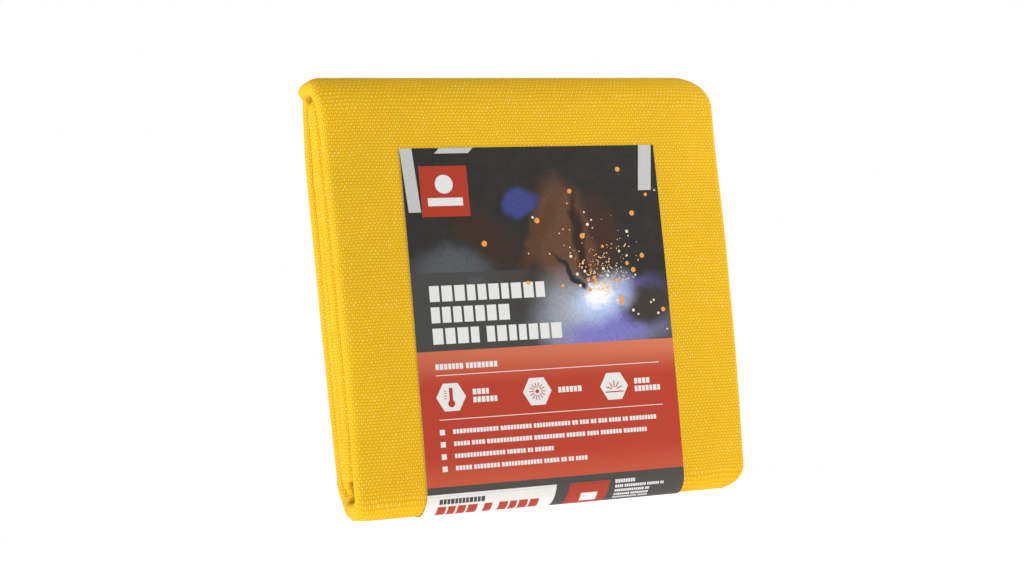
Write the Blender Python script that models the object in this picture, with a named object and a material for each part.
"""Welding fire blanket, folded to a slab and held by a printed card sleeve.

One sheet of coated glass cloth is doubled across its length, letter-folded in three to a strip
six plies thick, and then rolled over four times. The last turn is a loose flap at the back, and
the card is wrapped round the front and the bottom with its tail tucked under that flap.

Metres, +Z up. The slab stands on its folded bottom edge with the printed front facing -Y.
"""

import math

import bmesh
import bpy
from mathutils import Matrix, Vector

# Sheet as cut and hemmed
CUT_LONG = 1.800  # folded up into the width
CUT_SHORT = 1.200  # rolled up into the height
CLOTH = 0.0013
PLY_PITCH = 0.00233  # from the middle of one ply to the middle of the next
PLIES = 6  # in each strip: doubled, then folded in three

# Roll of four panels
POCKET_TOP = 0.0285  # height at which the free end of the core panel stops
CAP_HOLLOW = 0.005  # left under the top turn, over the core
CORNER_BEND = 0.0010  # radius inside the corners of the bottom turn
CARD_ROOM = 0.0010  # extra room between the core and the flap, where the card's tail lies
FLAP_LIFT = 0.0010  # the flap's hem stops this far above the bottom of the slab
FLAP_GAP = 0.0003  # split between the top turn and the flap

# Folds across the width
HALF_FOLD_INSET = 0.002  # the doubled edge stops this far short of the left turn's centre
HEM_OVERHANG = 0.0  # the inner hem edge passes the right turn's centre by this much

# Card sleeve
CARD = 0.0004
CARD_WIDTH = 0.201
CARD_TOP_MARGIN = 0.056  # from the top of the slab to the top of the card's front
CARD_TAIL = 0.120  # height that the tail reaches behind the core
CARD_CLEARANCE = 0.0003

# Grommets: a brass eyelet and a washer each, one in the middle of every ply or panel of the folds
GROMMETS_PER_END = PLIES
GROMMETS_PER_SIDE = 4
GROMMET_INSET = 0.014  # from the edge of the sheet to the centre
GROMMET_OD = 0.020
GROMMET_BORE = 0.010
GROMMET_WALL = 0.0005
FLANGE = 0.00035
SEAT_GAP = 0.00005  # between the cloth and a flange or a thread
BARREL_CLEARANCE = 0.0003
GROMMET_SIDES = 16

# Hem seams
THREAD_WIDTH = 0.0008
THREAD_HEIGHT = 0.0003
SEAM_CLEARANCE = 0.0020  # from a grommet's flange to the seam

TURN_STEPS = 8  # facets in half a turn

STRIP = PLIES * PLY_PITCH
SEAM_INSET = GROMMET_INSET + GROMMET_OD / 2 + SEAM_CLEARANCE

# Across the width: every ply is a whole number and a half of pitches from the strip's inner side.
LEFT_OUTER, LEFT_INNER = 2.5 * PLY_PITCH, 1.5 * PLY_PITCH
RIGHT_OUTER, RIGHT_INNER = 1.5 * PLY_PITCH, 0.5 * PLY_PITCH
HALF_FOLD = 0.5 * PLY_PITCH
INNER_TURNS = math.pi * (LEFT_INNER + RIGHT_INNER + HALF_FOLD / 2)
FOLD_WIDTH = (CUT_LONG / 2 - INNER_TURNS - HEM_OVERHANG + HALF_FOLD_INSET) / 3
WIDTH = FOLD_WIDTH + LEFT_OUTER + RIGHT_OUTER + CLOTH
LEFT_CENTRE = -WIDTH / 2 + LEFT_OUTER + CLOTH / 2
RIGHT_CENTRE = LEFT_CENTRE + FOLD_WIDTH
INNER_HEM = FOLD_WIDTH + HEM_OVERHANG
HALF_PLY = FOLD_WIDTH - HALF_FOLD_INSET
OUTER_TURNS = math.pi * (LEFT_OUTER + RIGHT_OUTER + HALF_FOLD / 2)
OUTER_HEM = CUT_LONG / 2 - OUTER_TURNS - FOLD_WIDTH - HALF_PLY

# Along the roll: the middle of each panel, and the three turns between them.
CORE_FRONT_Y, CORE_BACK_Y = -STRIP / 2, STRIP / 2
FRONT_Y = CORE_FRONT_Y - STRIP
FLAP_Y = CORE_BACK_Y + STRIP + CARD_ROOM
CORE_TURN = STRIP / 2
CORNER_TURN = CORNER_BEND + STRIP / 2
SPINE_RUN = CORE_BACK_Y - FRONT_Y - 2 * CORNER_TURN
TOP_TURN = (FLAP_Y - FRONT_Y) / 2
SKIN = (PLY_PITCH - CLOTH) / 2  # from the side of a strip to the face of its outermost ply
BASE = CARD + CARD_CLEARANCE - SKIN  # side of the strip at the bottom, above the card
CORNER_Z = BASE + CORNER_TURN + STRIP / 2
TURN_LENGTHS = math.pi * (CORE_TURN + CORNER_TURN + TOP_TURN) + SPINE_RUN
FLAP_END = BASE + SKIN + FLAP_LIFT
CROWN = TOP_TURN + STRIP / 2 - SKIN  # from the top turn's centre to the top of the slab
CORE_DROP = CAP_HOLLOW + TOP_TURN - STRIP - CORE_TURN  # between the centres of the two upper turns
TOP_Z = (CUT_SHORT - TURN_LENGTHS + POCKET_TOP + 2 * CORNER_Z + FLAP_END + 2 * CORE_DROP) / 4
CORE_Z = TOP_Z - CORE_DROP
HEIGHT = TOP_Z + CROWN
BACK_FACE = FLAP_Y + STRIP / 2 - SKIN
HINGE = Vector((0, BACK_FACE + FLAP_GAP, TOP_Z))


def clear_scene():
    for old in list(bpy.data.objects):
        bpy.data.objects.remove(old, do_unlink=True)


def material(name, colour, roughness, metallic=0.0):
    made = bpy.data.materials.new(name)
    made.use_nodes = True
    shader = made.node_tree.nodes["Principled BSDF"]
    shader.inputs["Base Color"].default_value = (*colour, 1)
    shader.inputs["Roughness"].default_value = roughness
    shader.inputs["Metallic"].default_value = metallic
    return made


def add_object(name, bm, surface, parent=None):
    """A bmesh in world coordinates made an object, with its origin on its parent's."""
    bmesh.ops.recalc_face_normals(bm, faces=bm.faces)
    if parent:
        bmesh.ops.translate(bm, vec=-parent.location, verts=bm.verts)
    mesh = bpy.data.meshes.new(name)
    bm.to_mesh(mesh)
    bm.free()
    mesh.materials.append(surface)
    made = bpy.data.objects.new(name, mesh)
    made.parent = parent
    bpy.context.collection.objects.link(made)
    return made


def axis_empty(name, place):
    empty = bpy.data.objects.new(name, None)
    empty.location = place
    bpy.context.collection.objects.link(empty)
    return empty


# ---- the fold across the width --------------------------------------------------------------


def ply_height(number):
    return (number + 0.5) * PLY_PITCH


def turn(centre_x, centre_n, radius, start, sweep, steps):
    """Centreline points and directions of a fold, as (x, n, angle of travel)."""
    points = []
    for step in range(steps + 1):
        angle = start + sweep * step / steps
        travel = angle + math.copysign(math.pi / 2, sweep)
        x = centre_x + radius * math.cos(angle)
        points.append((x, centre_n + radius * math.sin(angle), travel))
    return points


def strip_centreline(outer_end, inner_end):
    """The doubled and letter-folded sheet from its outer hem edge to its inner one.

    n is the height over the strip's inner side. The ends are the lengths of the two hem plies.
    """
    up, down = math.pi / 2, -math.pi / 2
    steps = TURN_STEPS
    small = TURN_STEPS // 2
    half_x = LEFT_CENTRE + HALF_FOLD_INSET
    left_n, right_n, half_n = 3 * PLY_PITCH, 4 * PLY_PITCH, 3 * PLY_PITCH
    line = [(LEFT_CENTRE + outer_end, ply_height(0), math.pi)]
    line += turn(LEFT_CENTRE, left_n, LEFT_OUTER, -up, -math.pi, steps)
    line += turn(RIGHT_CENTRE, right_n, RIGHT_OUTER, up, -math.pi, steps)
    line += turn(half_x, half_n, HALF_FOLD, down, -math.pi, small)
    line += turn(RIGHT_CENTRE, right_n, RIGHT_INNER, down, math.pi, small)
    line += turn(LEFT_CENTRE, left_n, LEFT_INNER, up, math.pi, steps)
    line.append((LEFT_CENTRE + inner_end, ply_height(1), 0.0))
    return line


def ribbon(line, low, high):
    """Outline round a centreline, from one offset to the left of its travel to another."""
    sides = []
    for offset in (low, high):
        sides.append([(x - offset * math.sin(a), n + offset * math.cos(a)) for x, n, a in line])
    return sides[0] + sides[1][::-1]


def ply_place(along):
    """Where a length along the doubled sheet lies: x, n, and the way its upper face points."""
    runs = (
        (OUTER_HEM, 0, LEFT_CENTRE + OUTER_HEM, -1, math.pi * LEFT_OUTER),
        (FOLD_WIDTH, 5, LEFT_CENTRE, 1, math.pi * RIGHT_OUTER),
        (HALF_PLY, 2, RIGHT_CENTRE, -1, math.pi * HALF_FOLD),
        (HALF_PLY, 3, RIGHT_CENTRE - HALF_PLY, 1, math.pi * RIGHT_INNER),
        (FOLD_WIDTH, 4, RIGHT_CENTRE, -1, math.pi * LEFT_INNER),
        (INNER_HEM, 1, LEFT_CENTRE, 1, 0.0),
    )
    start = 0.0
    for length, ply, x, way, bend in runs:
        if along <= start + length + bend / 2 or ply == 1:
            return x + way * (along - start), ply_height(ply), way
        start += length + bend


# ---- the roll of four panels ----------------------------------------------------------------


def panel_place(along):
    """Where a length along the roll lies: the panel's middle y, z, its outward way, its body."""
    runs = (
        (CORE_Z - POCKET_TOP, CORE_FRONT_Y, POCKET_TOP, 1, -1, math.pi * CORE_TURN),
        (CORE_Z - CORNER_Z, CORE_BACK_Y, CORE_Z, -1, 1, math.pi * CORNER_TURN + SPINE_RUN),
        (TOP_Z - CORNER_Z, FRONT_Y, CORNER_Z, 1, -1, math.pi * TOP_TURN),
        (TOP_Z - FLAP_END, FLAP_Y, TOP_Z, -1, 1, 0.0),
    )
    start = 0.0
    for number, (length, y, z, way, outward, bend) in enumerate(runs):
        if along <= start + length + bend / 2 or number == 3:
            return y, z + way * (along - start), outward, number == 3
        start += length + bend


def outline_face(bm, outline, panel_y, outward, z):
    """A face of the strip's section, standing across a panel at the height z."""
    points = [(x, panel_y + outward * (n - STRIP / 2), z) for x, n in outline]
    return bm.faces.new([bm.verts.new(point) for point in points])


def drop_inner(bm, face):
    """Removes the face that a sweep went on from, once it lies inside the solid."""
    if any(len(edge.link_faces) > 2 for edge in face.edges):
        bmesh.ops.delete(bm, geom=[face], context="FACES_ONLY")


def push(bm, face, step):
    made = bmesh.ops.extrude_face_region(bm, geom=[face])["geom"]
    bmesh.ops.translate(bm, vec=step, verts=[v for v in made if isinstance(v, bmesh.types.BMVert)])
    drop_inner(bm, face)
    return next(f for f in made if isinstance(f, bmesh.types.BMFace))


def roll(bm, face, y, z, angle, steps):
    """Spins a face about a line along X; a positive angle carries +Y towards +Z."""
    made = bmesh.ops.spin(
        bm, geom=[face], cent=(0, y, z), axis=(1, 0, 0), angle=angle, steps=steps
    )["geom_last"]
    drop_inner(bm, face)
    return next(f for f in made if isinstance(f, bmesh.types.BMFace))


def rolled(outline):
    """The core, the front panel and the three turns, from the core's free end to the flap."""
    bm = bmesh.new()
    quarter = TURN_STEPS // 2
    face = outline_face(bm, outline, CORE_FRONT_Y, -1, POCKET_TOP)
    face = push(bm, face, (0, 0, CORE_Z - POCKET_TOP))
    face = roll(bm, face, 0, CORE_Z, -math.pi, TURN_STEPS)
    face = push(bm, face, (0, 0, CORNER_Z - CORE_Z))
    face = roll(bm, face, CORE_BACK_Y - CORNER_TURN, CORNER_Z, -math.pi / 2, quarter)
    face = push(bm, face, (0, -SPINE_RUN, 0))
    face = roll(bm, face, FRONT_Y + CORNER_TURN, CORNER_Z, -math.pi / 2, quarter)
    face = push(bm, face, (0, 0, TOP_Z - CORNER_Z))
    roll(bm, face, FRONT_Y + TOP_TURN, TOP_Z, -math.pi, TURN_STEPS + 2)
    return bm


def hanging(outline):
    """The same section along the flap, from its hem up to the split."""
    bm = bmesh.new()
    face = outline_face(bm, outline, FLAP_Y, 1, FLAP_END)
    push(bm, face, (0, 0, TOP_Z - FLAP_GAP - FLAP_END))
    return bm


def across(outline, panel_y, outward, z):
    """A seam that runs across a panel, one thread wide."""
    bm = bmesh.new()
    face = outline_face(bm, outline, panel_y, outward, z - THREAD_WIDTH / 2)
    push(bm, face, (0, 0, THREAD_WIDTH))
    return bm


# ---- grommets -------------------------------------------------------------------------------


def ring_mesh(name, profile, surface):
    """A closed profile of (radius, height) spun round the local Z axis."""
    bm = bmesh.new()
    points = [bm.verts.new((radius, 0, height)) for radius, height in profile]
    edges = [bm.edges.new((points[i - 1], points[i])) for i in range(len(points))]
    bmesh.ops.spin(
        bm, geom=points + edges, cent=(0, 0, 0), axis=(0, 0, 1), angle=2 * math.pi,
        steps=GROMMET_SIDES, use_merge=True,
    )
    bmesh.ops.remove_doubles(bm, verts=bm.verts, dist=1e-6)
    bmesh.ops.recalc_face_normals(bm, faces=bm.faces)
    for face in bm.faces:
        face.smooth = True
    mesh = bpy.data.meshes.new(name)
    bm.to_mesh(mesh)
    bm.free()
    mesh.materials.append(surface)
    return mesh


def eyelet_mesh(surface):
    bore, barrel = GROMMET_BORE / 2, GROMMET_BORE / 2 + GROMMET_WALL
    seat = CLOTH / 2 + SEAT_GAP
    top, bottom = seat + FLANGE, -seat - FLANGE
    profile = [
        (bore, bottom), (barrel, bottom), (barrel, seat),
        (GROMMET_OD / 2, seat), (GROMMET_OD / 2, top), (bore, top),
    ]
    return ring_mesh("eyelet", profile, surface)


def washer_mesh(surface):
    inner = GROMMET_BORE / 2 + GROMMET_WALL + BARREL_CLEARANCE
    seat = -CLOTH / 2 - SEAT_GAP
    profile = [
        (inner, seat - FLANGE), (GROMMET_OD / 2, seat - FLANGE),
        (GROMMET_OD / 2, seat), (inner, seat),
    ]
    return ring_mesh("washer", profile, surface)


def grommet_spots():
    """Name, length along the doubled sheet and length along the roll of every grommet."""
    spots = []
    for edge, inset in (("core", GROMMET_INSET), ("flap", CUT_SHORT - GROMMET_INSET)):
        for number in range(GROMMETS_PER_END):
            along = CUT_LONG * (number + 0.5) / GROMMETS_PER_END
            spots.append((f"{edge}_edge_{number + 1}", along, inset))
    for edge, inset in (("outer", GROMMET_INSET), ("inner", CUT_LONG - GROMMET_INSET)):
        for number in range(GROMMETS_PER_SIDE):
            along = CUT_SHORT * (number + 0.5) / GROMMETS_PER_SIDE
            spots.append((f"{edge}_side_{number + 1}", inset, along))
    return spots


def grommet_frame(across_length, roll_length):
    """The matrix that sets a grommet in its ply, and whether that ply is the flap's."""
    x, n, ply_way = ply_place(across_length)
    y, z, outward, on_flap = panel_place(roll_length)
    way = outward * ply_way
    place = Vector((x, y + outward * (n - STRIP / 2), z))
    turned = Matrix.Rotation(-way * math.pi / 2, 4, "X")
    return Matrix.Translation(place) @ turned, on_flap


def cut_grommet_holes(cloth, frames):
    """One hidden cutter with a short cylinder in each ply that carries a grommet."""
    bm = bmesh.new()
    radius = GROMMET_BORE / 2 + GROMMET_WALL + BARREL_CLEARANCE
    for frame in frames:
        bmesh.ops.create_cone(
            bm, cap_ends=True, segments=GROMMET_SIDES, radius1=radius, radius2=radius,
            depth=CLOTH + SKIN, matrix=frame,
        )
    cutter = add_object(cloth.name + "_holes", bm, cloth.data.materials[0])
    cutter.hide_render = True
    cutter.display_type = "WIRE"
    cut = cloth.modifiers.new("grommet_holes", "BOOLEAN")
    cut.operation = "DIFFERENCE"
    cut.object = cutter


# ---- card sleeve ----------------------------------------------------------------------------


def card_outline():
    """The card's edge seen from the left: down the front, round the bottom, up the tail."""
    inner = CORNER_TURN + STRIP / 2 - SKIN + CARD_CLEARANCE
    quarter = TURN_STEPS // 2
    front_y, rear_y = FRONT_Y + CORNER_TURN, CORE_BACK_Y - CORNER_TURN
    sides = []
    for radius in (inner, inner + CARD):
        side = [(front_y - radius, HEIGHT - CARD_TOP_MARGIN)]
        for step in range(quarter + 1):
            angle = math.pi + math.pi / 2 * step / quarter
            side.append((front_y + radius * math.cos(angle), CORNER_Z + radius * math.sin(angle)))
        for step in range(quarter + 1):
            angle = math.pi / 2 * (3 + step / quarter)
            side.append((rear_y + radius * math.cos(angle), CORNER_Z + radius * math.sin(angle)))
        side.append((rear_y + radius, CARD_TAIL))
        sides.append(side)
    return sides[0] + sides[1][::-1]


def card_body():
    bm = bmesh.new()
    points = [bm.verts.new((-CARD_WIDTH / 2, y, z)) for y, z in card_outline()]
    push(bm, bm.faces.new(points), (CARD_WIDTH, 0, 0))
    return bm


# ---- assembly -------------------------------------------------------------------------------


def build():
    clear_scene()
    yellow = material("coated_glass_cloth", (0.83, 0.46, 0.015), 0.75)
    brass = material("brass", (0.72, 0.50, 0.20), 0.35, 1.0)
    thread = material("seam_thread", (0.86, 0.70, 0.35), 0.6)
    printed = material("printed_card", (0.42, 0.07, 0.03), 0.45)
    hinge = axis_empty("end_flap_axis", HINGE)
    slide = axis_empty("card_sleeve_axis", Vector((0, 0, 0)))

    whole = strip_centreline(OUTER_HEM, INNER_HEM)
    plies = ribbon(whole, -CLOTH / 2, CLOTH / 2)
    body = add_object("blanket_body", rolled(plies), yellow)
    flap = add_object("end_flap", hanging(plies), yellow, hinge)

    # The end seams stop short of the side seams, which run the whole length of the sheet.
    seam_low = CLOTH / 2 + SEAT_GAP
    seam_high = seam_low + THREAD_HEIGHT
    seam_end = SEAM_INSET + THREAD_WIDTH
    inside = strip_centreline(OUTER_HEM - seam_end, INNER_HEM - seam_end)
    end_seam = ribbon(inside, seam_low, seam_high)
    core_seam_z, flap_seam_z = POCKET_TOP + SEAM_INSET, FLAP_END + SEAM_INSET
    add_object("core_end_seam", across(end_seam, CORE_FRONT_Y, -1, core_seam_z), thread)
    add_object("flap_end_seam", across(end_seam, FLAP_Y, 1, flap_seam_z), thread, hinge)
    for side, along in (("outer", SEAM_INSET), ("inner", CUT_LONG - SEAM_INSET)):
        x, n, way = ply_place(along)
        half = THREAD_WIDTH / 2
        low, high = n + way * seam_low, n + way * seam_high
        seam = [(x - half, low), (x + half, low), (x + half, high), (x - half, high)]
        add_object(f"{side}_side_seam", rolled(seam), thread)
        add_object(f"{side}_side_seam_on_flap", hanging(seam), thread, hinge)

    eyelet, washer = eyelet_mesh(brass), washer_mesh(brass)
    frames = {False: [], True: []}
    for name, across_length, roll_length in grommet_spots():
        frame, on_flap = grommet_frame(across_length, roll_length)
        frames[on_flap].append(frame)
        for kind, mesh in (("eyelet", eyelet), ("washer", washer)):
            made = bpy.data.objects.new(f"{kind}_{name}", mesh)
            bpy.context.collection.objects.link(made)
            if on_flap:
                made.parent = hinge
                frame_here = Matrix.Translation(-hinge.location) @ frame
            else:
                frame_here = frame
            made.matrix_local = frame_here
    cut_grommet_holes(body, frames[False])
    cut_grommet_holes(flap, frames[True])

    add_object("card_sleeve", card_body(), printed, slide)


build()
